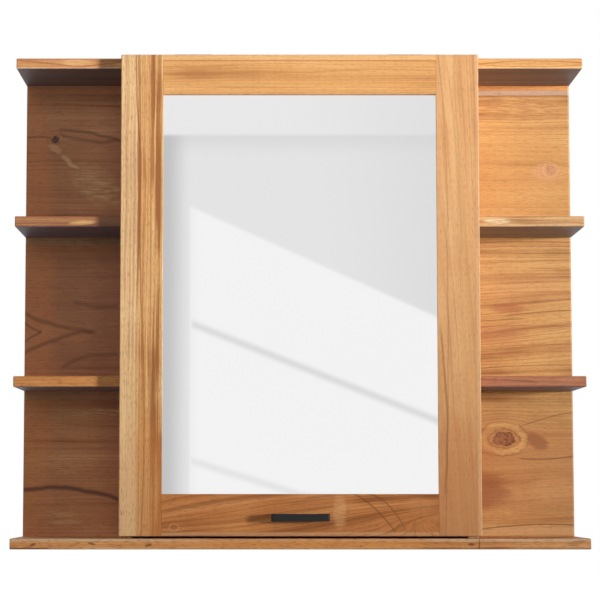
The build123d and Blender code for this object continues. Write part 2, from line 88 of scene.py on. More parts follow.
# %% Fields: values that vary over a surface
class Field:
    """One output in a material's network. Arithmetic on it adds nodes."""

    def __init__(self, tree, socket):
        self.tree = tree
        self.socket = socket

    def math(self, operation, *others):
        node = self.tree.nodes.new("ShaderNodeMath")
        node.operation = operation
        for socket, value in zip(node.inputs, (self, *others)):
            plug(self.tree, value, socket)
        return Field(self.tree, node.outputs[0])

    def __add__(self, other):
        return self.math("ADD", other)

    def __sub__(self, other):
        return self.math("SUBTRACT", other)

    def __mul__(self, other):
        return self.math("MULTIPLY", other)

    def __truediv__(self, other):
        return self.math("DIVIDE", other)

    def __neg__(self):
        return self * -1.0

    __radd__ = __add__
    __rmul__ = __mul__

    def __rsub__(self, other):
        return -self + other

    def squared(self):
        return self.math("MULTIPLY", self)

    def root(self):
        return self.math("SQRT")

    def size(self):
        return self.math("ABSOLUTE")

    def step(self, low, high):
        """0 at low and 1 at high, with a smooth climb between them. low may be the larger one."""
        node = self.tree.nodes.new("ShaderNodeMapRange")
        node.interpolation_type = "SMOOTHSTEP"
        plug(self.tree, self, node.inputs["Value"])
        node.inputs["From Min"].default_value = low
        node.inputs["From Max"].default_value = high
        return Field(self.tree, node.outputs["Result"])

    def hill(self, width):
        """1 where the field is 0, falling smoothly to 0 at width on either side."""
        return self.size().step(width, 0.0)


def plug(tree, value, socket):
    """Wires a field into a socket, or types a plain value into it."""
    if isinstance(value, Field):
        tree.links.new(value.socket, socket)
    else:
        socket.default_value = value


def vector(x, y, z):
    tree = next(part.tree for part in (x, y, z) if isinstance(part, Field))
    node = tree.nodes.new("ShaderNodeCombineXYZ")
    for socket, part in zip(node.inputs, (x, y, z)):
        plug(tree, part, socket)
    return Field(tree, node.outputs[0])


def noise(place, detail=2.0, roughness=0.5):
    """Cloudy noise about 0.5, at one lump per unit of the place it is given."""
    node = place.tree.nodes.new("ShaderNodeTexNoise")
    plug(place.tree, place, node.inputs["Vector"])
    node.inputs["Scale"].default_value = 1.0
    node.inputs["Detail"].default_value = detail
    node.inputs["Roughness"].default_value = roughness
    return Field(place.tree, node.outputs["Fac"])


def tint(red, green, blue):
    """A colour given as it looks on a screen, from 0 to 255, as Blender's linear colour."""
    def linear(value):
        value /= 255
        return value / 12.92 if value <= 0.04045 else ((value + 0.055) / 1.055) ** 2.4
    return (linear(red), linear(green), linear(blue), 1.0)


def mix(amount, below, above):
    """One colour over another, by an amount from 0 to 1."""
    node = amount.tree.nodes.new("ShaderNodeMix")
    node.data_type = "RGBA"
    plug(amount.tree, amount, node.inputs["Factor"])
    for socket, value in ((node.inputs[6], below), (node.inputs[7], above)):
        plug(amount.tree, value, socket)
    return Field(amount.tree, node.outputs[2])


def new_material(name):
    """An empty material: its network, its shader and the place on the piece as three fields."""
    material = bpy.data.materials.new(name)
    material.use_nodes = True
    tree = material.node_tree
    shader = tree.nodes["Principled BSDF"]
    source = tree.nodes.new("ShaderNodeTexCoord")
    split = tree.nodes.new("ShaderNodeSeparateXYZ")
    tree.links.new(source.outputs["Object"], split.inputs[0])
    place = [Field(tree, socket) for socket in split.outputs]
    return material, tree, shader, place


def relief(tree, shader, height, depth):
    """Lets a field stand up from the surface by a depth in metres."""
    node = tree.nodes.new("ShaderNodeBump")
    node.inputs["Strength"].default_value = 1.0
    node.inputs["Distance"].default_value = depth
    plug(tree, height, node.inputs["Height"])
    tree.links.new(node.outputs[0], shader.inputs["Normal"])


def finish_node(node, material):
    """Gives a solid a new finish."""
    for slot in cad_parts[node].material_slots:
        slot.material = material


print("pattern helpers ready")

# %% [markdown]
# ## Teak
#
# Teak is honey brown with dark growth lines. A board is a slice through a tree, so its lines are
# rings cut lengthwise: far from the heart they run straight, and near it they close into nested
# arches. The recipe works the same way. It measures how far each point is from the heart of the
# tree, lets the grain wander a little, and reads dark and pale growth from that distance. Because
# the rings are worked out in depth too, they carry on over the edges and ends of a board. A picture
# of wood would be quicker, but it would stop at the edges and look the same on every board.
#
# On top of the rings come the marks that make each board itself. A knot pushes the grain aside. A
# vein is one dark line, a patch is a stain or a stretch of pale sapwood, and a band is a strip
# along a plank's edge.


# %% Marks that a board can have
def knot(u, v, wide, tall, reach_u, reach_v, push=0.75, core=(96, 60, 46), ring=(120, 66, 40),
         halo=(226, 170, 116), strength=1.0):
    """A knot at u along the grain and v across it, and how far the grain bends round it."""
    return {"kind": "knot", "u": u, "v": v, "wide": wide, "tall": tall,
            "reach_u": reach_u, "reach_v": reach_v, "push": push,
            "core": core, "ring": ring, "halo": halo, "strength": strength}


def sweep(u, v, slope, spread):
    """A stretch of the board, about v, whose grain climbs by slope."""
    return {"kind": "sweep", "u": u, "v": v, "slope": slope, "spread": spread}


def vein(start, end, sag, width, colour, strength=0.7):
    """One long line from start to end, which bows by sag in the middle."""
    return {"kind": "vein", "start": start, "end": end, "sag": sag, "width": width,
            "colour": colour, "strength": strength}


def patch(u, v, long, tall, colour, strength, lean=0.0, streaky=0.0):
    """A soft-edged stain, long and tall about (u, v). A streaky one breaks up into fibres."""
    return {"kind": "patch", "u": u, "v": v, "long": long, "tall": tall,
            "colour": colour, "strength": strength, "lean": lean, "streaky": streaky}


def band(low, high, soft, colour, strength):
    """A strip of another colour between two heights across the grain."""
    return {"kind": "band", "low": low, "high": high, "soft": soft,
            "colour": colour, "strength": strength}


print("marks ready")

# %% [markdown]
# ## Drawing the marks
#
# Each mark is a colour laid over the wood by an amount that falls off with distance. A knot
# measures its distance as an oval, a vein as the height above a bowed line, a band between two
# heights. They could be painted on a picture of each board, but typed marks stay sharp from near by
# and move by one number. A little noise is added to every distance, because nothing in wood has a
# clean edge. A sweep has nothing to draw: it only bends the grain.


# %% Draw each kind of mark
def add_knot(colour, mark, u, v):
    """A cracked core inside a dark rim, with a pale halo and two faint rings outside."""
    along = (u - mark["u"]) / mark["wide"]
    across = (v - mark["v"]) / mark["tall"]
    wobble = noise(vector(u * 80, v * 110, 0.0), 3, 0.6) - 0.5
    far = (along.squared() + across.squared()).root() + wobble * 1.3
    cracks = noise(vector(u * 210, v * 260, 0.0), 3, 0.7).step(0.48, 0.60)
    core, ring, halo = (tint(*mark[part]) for part in ("core", "ring", "halo"))
    strength = mark["strength"]
    colour = mix((far - 2.0).hill(0.55) * (0.50 * strength), colour, halo)
    colour = mix((far - 1.45).hill(0.16) * (0.45 * strength), colour, ring)
    colour = mix((far - 2.5).hill(0.14) * (0.30 * strength), colour, ring)
    inside = far.step(1.05, 0.85) * strength
    colour = mix(inside * 0.85, colour, core)
    colour = mix(inside * cracks * 0.7, colour, ring)
    return mix((far - 1.0).hill(0.20) * (0.85 * strength), colour, ring)


def add_vein(colour, mark, u, v):
    """A line that trembles a little and fades at both ends."""
    (u0, v0), (u1, v1) = mark["start"], mark["end"]
    share = (u - u0) / (u1 - u0)
    bow = share * (1.0 - share) * (4 * mark["sag"])
    wobble = (noise(vector(u * 25, v * 8, 0.0), 2, 0.5) - 0.5) * (mark["width"] * 1.5)
    away = v - share * (v1 - v0) - v0 - bow + wobble
    inside = (share - 0.5).size().step(0.56, 0.42)
    return mix(away.hill(mark["width"]) * inside * mark["strength"], colour, tint(*mark["colour"]))


def add_patch(colour, mark, u, v):
    """An oval with a ragged edge, broken into strands where it is streaky."""
    du, dv = u - mark["u"], v - mark["v"]
    turned = dv - du * mark["lean"]
    far = ((du / mark["long"]).squared() + (turned / mark["tall"]).squared()).root()
    edge = (noise(vector(u * 30, v * 110, 0.0), 2, 0.6) - 0.5) * 0.7
    amount = (far + edge).step(1.05, 0.45) * mark["strength"]
    if mark["streaky"]:
        strands = noise(vector(u * 40, v * 520, 0.0), 1, 0.5).step(0.42, 0.62)
        amount = amount * (strands * mark["streaky"] + (1 - mark["streaky"]))
    return mix(amount, colour, tint(*mark["colour"]))


def add_band(colour, mark, u, v):
    """A strip whose two edges waver together."""
    wobble = (noise(vector(u * 10, 0.5, 0.0), 1, 0.5) - 0.5) * (mark["soft"] * 1.5)
    place = v + wobble
    low, high, soft = mark["low"], mark["high"], mark["soft"]
    inside = place.step(low - soft, low + soft) * place.step(high + soft, high - soft)
    return mix(inside * mark["strength"], colour, tint(*mark["colour"]))


MARK_MAKERS = {"knot": add_knot, "vein": add_vein, "patch": add_patch, "band": add_band}
print("kinds of mark that are drawn:", ", ".join(MARK_MAKERS))

# %% [markdown]
# ## The recipe for a board
#
# First the grain is bent: by a slow wander, by a fine ripple and round each knot. Then the distance
# to the heart gives the rings, and noise along that distance gives pale and dark wood. Fibres lie
# over it, then the marks, then flecks and pores. Each board could have a network of its own, but
# one recipe with a few settings keeps them all the same kind of wood.


# %% The recipe for a board
GRAIN_WANDER = 0.012  # metres that the grain drifts
GRAIN_RIPPLE = 0.0016  # metres that it trembles
FIBRE_RELIEF = 0.00012  # metres that the fibres stand up
OPEN_PORE = (88, 48, 26)
CUT_END = (112, 66, 38)
# Painted shade of a board's underside: a dark, cool grey
PAINTED_UNDERSIDE_SHADE = (92, 102, 122)


def teak(name, grain, heart, tones, seed, rise=0.0, marks=(), lines=0.8, contrast=1.0, fine=1.0,
         growth=170, flecks=0.3):
    """Teak for one board.

    grain says which way the fibres run and which way the board's face looks: "across" is sideways
    on an upright face, "up" is upwards on one, and "flat" is sideways on a lying board. heart is
    where the middle of the tree lies across the grain, and rise is how fast it comes nearer along
    it. tones are the pale, middle and dark wood, and seed makes the noise this board's own. growth
    is the number of rings in a metre, and lines, contrast, fine and flecks say how strong the
    rings, the broad tones, the fibres and the short dark dashes are.
    """
    material, tree, shader, (x, y, z) = new_material(name)
    u, v, w = {"across": (x, z, y), "up": (z, x, y), "flat": (x, y, z)}[grain]
    plain_v = v
    wander = noise(vector(u * 3 + seed, v * 9, w * 9), 2, 0.5) - 0.5
    ripple = noise(vector(u * 16, v * 60 + seed, w * 60), 1, 0.5) - 0.5
    v = v + wander * GRAIN_WANDER + ripple * GRAIN_RIPPLE
    for mark in marks:
        if mark["kind"] == "knot":
            along = (u - mark["u"]) / mark["reach_u"]
            across = (plain_v - mark["v"]) / mark["reach_v"]
            near = (along.squared() + across.squared()).root().step(1.0, 0.0)
            v = v - (plain_v - mark["v"]) * near * mark["push"]
        if mark["kind"] == "sweep":
            v = v - (u - mark["u"]) * mark["slope"] * (plain_v - mark["v"]).hill(mark["spread"])
    rings = ((v - heart[0]).squared() + (w - heart[1] + u * rise).squared()).root()

    # Pale and dark growth, in wide and narrow rings, and the fibres themselves
    wide = noise(vector(u * 1.2 + seed, rings * 55, seed), 2, 0.5)
    narrow = noise(vector(u * 2.5, rings * 260 + seed, w * 20), 2, 0.55)
    thin = noise(vector(u * 5 + seed, rings * 700, w * 60), 1, 0.5)
    fibre = noise(vector(u * 45, v * 1500, w * 1500 + seed), 2, 0.6)
    pores = noise(vector(u * 130 + seed, v * 2600, w * 2600), 0, 0.5).step(0.62, 0.8)
    cloud = noise(vector(u * 9, v * 16, w * 16 + seed), 2, 0.5)

    pale, middle, dark = (tint(*tone) for tone in tones)
    tone = (wide - 0.5) * (2.2 * contrast) + (cloud - 0.5) * (0.4 + 0.8 * contrast)
    tone = tone + (narrow - 0.5) * (1.8 * contrast) + 0.5
    colour = mix(tone.step(0.42, 0.95), mix(tone.step(0.05, 0.5), dark, middle), pale)
    turn = (rings * growth + wide * 4).math("FRACT")
    late = turn.step(0.72, 0.96) * turn.step(1.0, 0.97) * narrow.step(0.40, 0.58) * lines
    colour = mix(late * 0.75, colour, dark)
    colour = mix(narrow.step(0.60, 0.72) * (0.30 * lines), colour, dark)
    colour = mix(thin.step(0.52, 0.70) * (0.42 * fine), colour, dark)
    colour = mix(fibre.step(0.60, 0.30) * (0.16 * fine), colour, dark)
    colour = mix(fibre.step(0.55, 0.80) * (0.22 * fine), colour, pale)
    facing = tree.nodes.new("ShaderNodeSeparateXYZ")
    source = next(node for node in tree.nodes if node.bl_idname == "ShaderNodeTexCoord")
    tree.links.new(source.outputs["Normal"], facing.inputs[0])
    marked = colour
    for mark in marks:
        if mark["kind"] in MARK_MAKERS:
            marked = MARK_MAKERS[mark["kind"]](marked, mark, u, z if grain == "flat" else plain_v)
    if grain == "flat":
        # The marks of a lying board belong to its front edge only
        marked = mix(Field(tree, facing.outputs["Y"]).step(-0.3, -0.7), colour, marked)
    dashes = noise(vector(u * 100 + seed, v * 800, w * 800), 1, 0.5).step(0.56, 0.70)
    colour = mix(dashes * flecks, marked, dark)
    colour = mix(pores * 0.35, colour, tint(*OPEN_PORE))

    # Across the grain the fibres are cut, drink more oil and turn darker
    end_face = Field(tree, facing.outputs["Z" if grain == "up" else "X"]).size().step(0.75, 0.95)
    colour = mix(end_face * 0.45, colour, tint(*CUT_END))
    if grain == "flat":
        # Painted shade: the undersides are mixed towards a dark, cool grey, for the shade that falls under
        # a lying board
        painted_shade_below = Field(tree, facing.outputs["Z"]).step(-0.5, -0.9)
        colour = mix(painted_shade_below * 0.76, colour, tint(*PAINTED_UNDERSIDE_SHADE))

    plug(tree, colour, shader.inputs["Base Color"])
    plug(tree, 0.50 + late * 0.08 + (fibre - 0.5) * 0.25, shader.inputs["Roughness"])
    shader.inputs["Specular IOR Level"].default_value = 0.28
    relief(tree, shader, fibre * 0.5 - pores * 0.6 - late * 0.35, FIBRE_RELIEF)
    return material


print("teak recipe ready")

# %% [markdown]
# ## The boards, one by one
#
# Real boards are never alike. Each visible board gets its own heart, tones and marks, set where the
# real one has them. Places are measured in metres from the middle of the cabinet's back. The tones
# come first, because boards from one tree share them.

# %% Wood tones
golden = ((238, 188, 122), (220, 165, 102), (162, 104, 58))
honey = ((240, 188, 130), (222, 163, 106), (172, 112, 66))
amber = ((228, 164, 104), (206, 138, 84), (150, 88, 50))
straw = ((252, 208, 148), (232, 178, 112), (160, 98, 50))
# Partly painted shade: these tones are darkened for the light falling off towards the bottom
russet_with_painted_shade = ((224, 152, 88), (202, 126, 68), (146, 84, 42))
# Partly painted shade: these tones are darkened for the shade that lies over the left bays
dusky_with_painted_shade = ((230, 166, 116), (210, 142, 96), (148, 90, 60))
cream = (248, 216, 168)
umber = (92, 52, 34)
plum = (88, 50, 44)
rust = (168, 88, 54)

print("wood tones ready")

# %% [markdown]
# ## Back boards of the side bays
#
# These two wide boards have grain that runs sideways. The left one is dusky, with a small dark
# knot, a pale streak below it and two dark arrowheads where the rings close. Its dusky tones are
# partly the wood's own and partly painted shade, darker than the lamp's shade alone makes them, and
# broad patches paint more shade beside the box and a paler outer edge. The right one is golden,
# with a faint knot high up and a large one low down, and a broad patch paints shade over its lowest
# bay. One wood for both would be less work, but the two sides of a real cabinet seldom match.

# %% Back boards of the side bays
left_back = teak("left_back_teak", "across", (-0.0326, 0.04), dusky_with_painted_shade, 11.0,
                 contrast=0.45, lines=0.35, fine=0.6, marks=(
    # The first patch darkens the middle bay. Painted shade: the next two darken the strip beside the box
    # and lighten the outer edge, as the shade falls across the bays
    patch(-0.325, -0.005, 0.110, 0.110, (158, 98, 70), 0.40),
    patch(-0.255, 0.000, 0.055, 0.420, (140, 84, 64), 0.40),
    patch(-0.392, 0.000, 0.046, 0.480, (240, 148, 90), 0.50),
    patch(-0.345, 0.100, 0.080, 0.030, (214, 130, 82), 0.35, 0.0, 0.6),
    patch(-0.350, -0.225, 0.070, 0.022, (236, 172, 118), 0.45, 0.0, 0.9),
    knot(-0.3563, 0.2502, 0.0048, 0.0056, 0.040, 0.022, 0.8, (70, 52, 56), (70, 44, 42), (206, 132, 84)),
    vein((-0.352, 0.266), (-0.255, 0.246), 0.003, 0.0045, umber, 0.55),
    vein((-0.350, 0.259), (-0.262, 0.249), -0.006, 0.0050, umber, 0.45),
    vein((-0.345, 0.262), (-0.280, 0.250), -0.002, 0.0035, (206, 134, 88), 0.50),
    vein((-0.399, 0.253), (-0.362, 0.252), 0.001, 0.0030, umber, 0.5),
    patch(-0.356, 0.236, 0.013, 0.008, (236, 172, 128), 0.75, -0.5),
    patch(-0.340, 0.221, 0.010, 0.005, (238, 184, 132), 0.75, -0.6),
    patch(-0.330, 0.211, 0.012, 0.004, (240, 190, 138), 0.80, -0.4),
    patch(-0.296, 0.182, 0.044, 0.034, (240, 196, 140), 0.62, -0.35, 0.8),
    patch(-0.345, -0.0340, 0.052, 0.020, (226, 150, 96), 0.45),
    vein((-0.405, -0.003), (-0.296, -0.034), -0.006, 0.0060, (96, 54, 40), 0.50),
    vein((-0.405, -0.068), (-0.296, -0.033), 0.007, 0.0060, (96, 54, 40), 0.50),
    vein((-0.402, -0.018), (-0.374, -0.033), -0.002, 0.0035, (110, 64, 46), 0.55),
    vein((-0.402, -0.052), (-0.374, -0.033), 0.002, 0.0035, (110, 64, 46), 0.55),
    vein((-0.345, -0.085), (-0.262, -0.066), 0.006, 0.0060, (104, 62, 48), 0.45),
    vein((-0.330, 0.012), (-0.262, 0.004), -0.004, 0.0060, (104, 62, 48), 0.40),
    band(0.318, 0.334, 0.001, (236, 160, 116), 0.50),
    band(0.094, 0.104, 0.0015, (214, 176, 132), 0.65),
    patch(-0.280, 0.100, 0.040, 0.008, (110, 82, 66), 0.55, 0.0, 0.5),
    band(-0.132, -0.121, 0.0015, (214, 166, 120), 0.65),
    patch(-0.300, -0.151, 0.060, 0.008, (240, 186, 134), 0.6, 0.0, 0.9),
    vein((-0.410, -0.264), (-0.250, -0.280), 0.011, 0.0060, plum, 0.85),
    patch(-0.350, -0.298, 0.040, 0.006, (242, 188, 132), 0.6, 0.0, 0.9),
    patch(-0.335, -0.310, 0.030, 0.005, (238, 190, 140), 0.6, 0.0, 0.5),
))
right_back = teak("right_back_teak", "across", (0.50, 0.05), golden, 23.0,
                  contrast=0.55, lines=0.7, fine=0.8, marks=(
    patch(0.330, 0.195, 0.160, 0.100, (208, 153, 90), 0.60),
    # Painted shade: this broad patch darkens the lowest bay, so the board is darker towards the bottom
    patch(0.340, -0.235, 0.160, 0.100, (196, 128, 78), 0.58),
    patch(0.320, 0.296, 0.100, 0.024, (168, 106, 66), 0.50, 0.0, 0.9),
    patch(0.330, 0.030, 0.120, 0.030, (226, 166, 108), 0.35),
    sweep(0.32, -0.03, 0.10, 0.10),
    sweep(0.32, -0.26, 0.06, 0.07),
    band(0.3234, 0.334, 0.0008, (238, 160, 92), 0.8),
    band(0.3153, 0.3232, 0.0008, (206, 172, 146), 0.85),
    vein((0.24, 0.3147), (0.41, 0.3147), 0.0, 0.0012, (150, 88, 58), 0.8),
    patch(0.366, 0.202, 0.026, 0.016, (222, 164, 124), 0.55),
    knot(0.3704, 0.2047, 0.0056, 0.0052, 0.030, 0.020, 0.7,
         (206, 150, 116), (160, 98, 66), strength=0.75),
    vein((0.245, 0.0975), (0.41, 0.0975), 0.001, 0.0014, rust, 0.6),
    vein((0.245, 0.0900), (0.41, 0.0910), 0.001, 0.0012, rust, 0.55),
    vein((0.245, 0.0835), (0.41, 0.0820), -0.001, 0.0014, umber, 0.45),
    vein((0.245, 0.0670), (0.41, 0.0720), 0.000, 0.0014, rust, 0.5),
    vein((0.245, 0.0200), (0.41, 0.0240), 0.003, 0.0014, rust, 0.5),
    patch(0.305, 0.0010, 0.034, 0.008, (176, 98, 66), 0.55, -0.05),
    vein((0.300, -0.0105), (0.41, -0.0020), 0.002, 0.0013, umber, 0.6),
    vein((0.245, -0.0190), (0.33, -0.0140), 0.000, 0.0013, umber, 0.6),
    vein((0.245, -0.0270), (0.41, -0.0260), 0.002, 0.0012, rust, 0.5),
    patch(0.285, -0.0350, 0.060, 0.020, (190, 118, 82), 0.35),
    vein((0.245, -0.0580), (0.41, -0.0520), 0.002, 0.0013, rust, 0.5),
    vein((0.245, -0.0690), (0.41, -0.0620), 0.002, 0.0013, rust, 0.45),
    vein((0.245, -0.0880), (0.41, -0.0820), 0.002, 0.0014, umber, 0.5),
    knot(0.2972, -0.1893, 0.0150, 0.0095, 0.060, 0.045, 0.80,
         (160, 98, 66), (98, 48, 36), (238, 188, 118)),
    patch(0.262, -0.196, 0.040, 0.034, (206, 140, 88), 0.35),
    patch(0.346, -0.193, 0.020, 0.014, (142, 78, 56), 0.6, -0.3),
    patch(0.262, -0.264, 0.055, 0.034, (150, 82, 52), 0.55),
    patch(0.370, -0.262, 0.040, 0.026, (232, 170, 112), 0.45, 0.0, 0.5),
    vein((0.320, -0.218), (0.41, -0.212), -0.003, 0.0016, plum, 0.7),
    vein((0.325, -0.170), (0.41, -0.150), 0.003, 0.0016, umber, 0.5),
    band(-0.327, -0.317, 0.0015, (226, 176, 126), 0.6),
    vein((0.262, -0.320), (0.41, -0.3145), 0.004, 0.0014, plum, 0.75),
))
finish_node("left_bay_back", left_back)
finish_node("right_bay_back", right_back)
print("back boards finished")

# %% [markdown]
# ## The door frame
#
# Two stiles run up the sides and two rails lie between them, so the grain changes direction at
# every corner. The four could share one wood turned by a quarter, but a real frame is cut from four
# boards, so each has its own. A thin dark line marks where a rail meets a stile. A broad patch low
# on each stile is painted shade. The bottom rail's darker tones are partly its own wood and partly
# painted shade, so the frame darkens towards the bottom.

# %% Door frame
rail_end = 0.1912
joint_line = 0.0009

left_stile = teak("left_stile_teak", "up", (-0.50, 0.10), straw, 5.0,
                  contrast=1.2, lines=1.0, growth=280, flecks=0.5, marks=(
    # Painted shade: this broad patch darkens the lower half of the stile, as the light falls off downward
    patch(-0.300, -0.220, 0.180, 0.060, (206, 130, 66), 0.62),
    band(-0.252, -0.2265, 0.0022, (246, 208, 158), 0.45),
    vein((0.36, -0.2290), (0.20, -0.2215), -0.002, 0.0016, (138, 84, 44), 0.8),
    vein((0.20, -0.2215), (-0.10, -0.2160), -0.003, 0.0016, (138, 84, 44), 0.75),
    vein((-0.10, -0.2160), (-0.34, -0.2195), 0.002, 0.0015, (138, 84, 44), 0.7),
    vein((0.36, -0.2110), (-0.34, -0.2070), 0.002, 0.0015, (160, 96, 52), 0.6),
    band(-0.2205, -0.206, 0.003, (214, 144, 84), 0.30),
))
right_stile = teak("right_stile_teak", "up", (0.182, -0.06), honey, 31.0, rise=-0.022,
                   contrast=0.4, growth=150, lines=0.4, fine=0.6, marks=(
    # Painted shade: this broad patch darkens the lower half of the stile, as the light falls off downward
    patch(-0.330, 0.220, 0.220, 0.060, (200, 122, 68), 0.50),
    vein((0.36, 0.1925), (0.10, 0.2060), 0.003, 0.0022, (158, 100, 60), 0.40),
    vein((0.34, 0.2050), (0.06, 0.2250), 0.004, 0.0020, (168, 110, 70), 0.28),
    vein((-0.04, 0.1940), (-0.27, 0.1990), 0.006, 0.0026, (140, 84, 50), 0.60),
    vein((0.10, 0.2040), (-0.34, 0.1990), 0.003, 0.0014, (150, 92, 56), 0.45),
    band(0.245, 0.252, 0.0015, (240, 194, 146), 0.4),
))
rail_gold = ((242, 186, 120), (226, 164, 98), (182, 120, 68))
top_rail = teak("top_rail_teak", "across", (0.75, 0.06), rail_gold, 47.0, contrast=0.45, lines=0.6, marks=(
    patch(-rail_end, 0.320, joint_line, 0.060, umber, 0.55),
    patch(rail_end, 0.320, joint_line, 0.060, umber, 0.55),
    band(0.3375, 0.3440, 0.0010, (246, 196, 138), 0.5),
    vein((-0.20, 0.3360), (0.20, 0.3365), 0.0, 0.0011, (168, 104, 62), 0.6),
))
# Painted shade: the darker russet tones are partly the rail's own wood and partly painted shade for the
# light falling off towards the bottom
bottom_rail = teak("bottom_rail_teak", "across", (-0.50, 0.05), russet_with_painted_shade, 61.0, contrast=0.9, marks=(
    sweep(-0.05, -0.295, 0.16, 0.05),
    patch(-rail_end, -0.300, joint_line, 0.060, umber, 0.55),
    patch(rail_end, -0.300, joint_line, 0.060, umber, 0.55),
    patch(-0.120, -0.285, 0.090, 0.012, (228, 158, 98), 0.35, 0.05, 0.5),
    patch(0.054, -0.294, 0.011, 0.030, (236, 178, 122), 0.55, 0.0, 0.5),
    patch(0.020, -0.275, 0.050, 0.006, (140, 84, 50), 0.45, 0.25, 0.6),
    vein((0.066, -0.266), (0.131, -0.322), 0.009, 0.0028, (112, 60, 36), 0.60),
    vein((0.090, -0.268), (0.145, -0.318), 0.012, 0.0028, (120, 66, 40), 0.60),
    patch(0.165, -0.285, 0.028, 0.014, (222, 150, 92), 0.40),
    knot(-0.173, -0.315, 0.0034, 0.0024, 0.018, 0.012, 0.6, (176, 108, 66), (124, 70, 42), strength=0.7),
    band(-0.3262, -0.3215, 0.0008, (226, 176, 128), 0.45),
))
for node, material in (("door_left_stile", left_stile), ("door_right_stile", right_stile),
                       ("door_top_rail", top_rail), ("door_bottom_rail", bottom_rail)):
    finish_node(node, material)
print("door frame finished")

# %% [markdown]
# ## Top, bottom and shelves
#
# A lying board shows a front edge 15 mm high, and there the marks are small: a pale lip, a dark
# split, a short streak. They are placed by their height, and the recipe keeps them off the faces.
# Bands and patches could be modelled as dents, but the real edges are planed flat, so they stay
# colour.

# %% Top, bottom and shelves
top_teak = teak("top_board_teak", "flat", (-0.16, 0.27),
                ((240, 184, 122), (222, 160, 98), (164, 104, 60)), 71.0, marks=(
    band(0.3300, 0.3325, 0.0005, cream, 0.55),
    band(0.3434, 0.3460, 0.0004, rust, 0.55),
    patch(-0.330, 0.337, 0.085, 0.012, (196, 130, 88), 0.45),
    patch(-0.316, 0.3390, 0.026, 0.0060, (242, 196, 130), 0.65, 0.0, 0.4),
    vein((-0.410, 0.3425), (-0.318, 0.3330), 0.001, 0.0016, rust, 0.7),
    vein((-0.312, 0.3330), (-0.240, 0.3420), -0.001, 0.0016, rust, 0.7),
    patch(0.330, 0.3380, 0.110, 0.0200, (250, 190, 114), 0.55),
    vein((0.250, 0.3365), (0.410, 0.3370), 0.0045, 0.0013, rust, 0.7),
    vein((0.250, 0.3365), (0.410, 0.3360), -0.0035, 0.0013, rust, 0.6),
))
bottom_teak = teak("bottom_board_teak", "flat", (-0.20, -0.40),
                   ((240, 186, 132), (224, 160, 98), (158, 94, 54)), 83.0, flecks=0.6, marks=(
    band(-0.3345, -0.3290, 0.0007, (226, 196, 160), 0.55),
    band(-0.3415, -0.3345, 0.0007, (230, 148, 78), 0.45),
    patch(-0.010, -0.3385, 0.270, 0.0200, (226, 146, 70), 0.50),
    vein((-0.410, -0.3425), (-0.345, -0.3435), 0.0, 0.0015, umber, 0.8),
    patch(-0.368, -0.3385, 0.006, 0.0025, umber, 0.75, 0.3),
    patch(-0.287, -0.3370, 0.007, 0.0022, umber, 0.75, -0.2),
    patch(-0.209, -0.3390, 0.006, 0.0024, umber, 0.75, 0.2),
    patch(0.235, -0.3380, 0.006, 0.0028, umber, 0.75),
    patch(0.246, -0.3375, 0.0012, 0.0120, umber, 0.70),
    patch(0.376, -0.3370, 0.012, 0.0040, plum, 0.55, 0.0, 0.8),
))
shelf_teak = {
    "left_upper_shelf": teak("left_upper_shelf_teak", "flat", (-0.17, 0.05),
                             ((204, 146, 96), (176, 120, 80), (130, 80, 52)), 91.0, marks=(
        band(0.1185, 0.1210, 0.0005, rust, 0.60),
        patch(-0.306, 0.1105, 0.024, 0.0040, (240, 192, 122), 0.70, 0.05, 0.4),
        # Painted shadow: this grey-brown patch darkens the edge next to the door, where the door's shadow
        # falls
        patch(-0.262, 0.1130, 0.030, 0.0100, (132, 88, 66), 0.60),
        vein((-0.410, 0.1085), (-0.320, 0.1100), 0.001, 0.0013, umber, 0.55),
    )),
    "right_upper_shelf": teak("right_upper_shelf_teak", "flat", (-0.17, 0.05),
                              ((240, 196, 142), (224, 176, 120), (176, 122, 76)), 95.0, marks=(
        patch(0.275, 0.1130, 0.024, 0.0055, (255, 232, 190), 0.75, 0.0, 0.8),
        band(0.1190, 0.1210, 0.0004, (190, 126, 82), 0.50),
        vein((0.290, 0.1150), (0.410, 0.1090), 0.001, 0.0013, (170, 110, 70), 0.6),
    )),
    "left_lower_shelf": teak("left_lower_shelf_teak", "flat", (-0.18, -0.18),
                             ((226, 158, 94), (214, 146, 84), (170, 104, 56)), 101.0,
                             contrast=0.5, flecks=0.8),
    "right_lower_shelf": teak("right_lower_shelf_teak", "flat", (-0.17, -0.17),
                              ((196, 128, 92), (176, 110, 76), (120, 66, 46)), 105.0, marks=(
        vein((0.245, -0.1100), (0.330, -0.1135), 0.001, 0.0014, plum, 0.6),
        patch(0.380, -0.1100, 0.030, 0.0040, (206, 140, 104), 0.6),
    )),
}
finish_node("top_board", top_teak)
finish_node("bottom_board", bottom_teak)
for node, material in shelf_teak.items():
    finish_node(node, material)
print("shelves finished")

# %% [markdown]
# ## Boards behind the door
#
# The box, its loose shelves, the hanging rails and the beads behind the glass are seen only when
# the door is up. They could have marks too, but their real grain isn't known, so they get the plain
# recipe.

# %% Boards behind the door
inner_teak = teak("inner_board_teak", "across", (0.45, 0.06), honey, 113.0, contrast=0.8)
upright_teak = teak("upright_teak", "up", (0.10, 0.06), honey, 127.0, contrast=0.9)
inner_flat = teak("inner_shelf_teak", "flat", (-0.20, 0.20), honey, 131.0, contrast=0.8)
bead_up = teak("upright_bead_teak", "up", (0.60, 0.05), amber, 137.0)
for node in ("box_back", "upper_hanging_rail", "lower_hanging_rail", "bead_top", "bead_bottom"):
    finish_node(node, inner_teak)
for node in ("left_upright", "right_upright"):
    finish_node(node, upright_teak)
for node in ("inner_upper_shelf", "inner_lower_shelf"):
    finish_node(node, inner_flat)
for node in ("bead_left", "bead_right"):
    finish_node(node, bead_up)
print("inner boards finished")

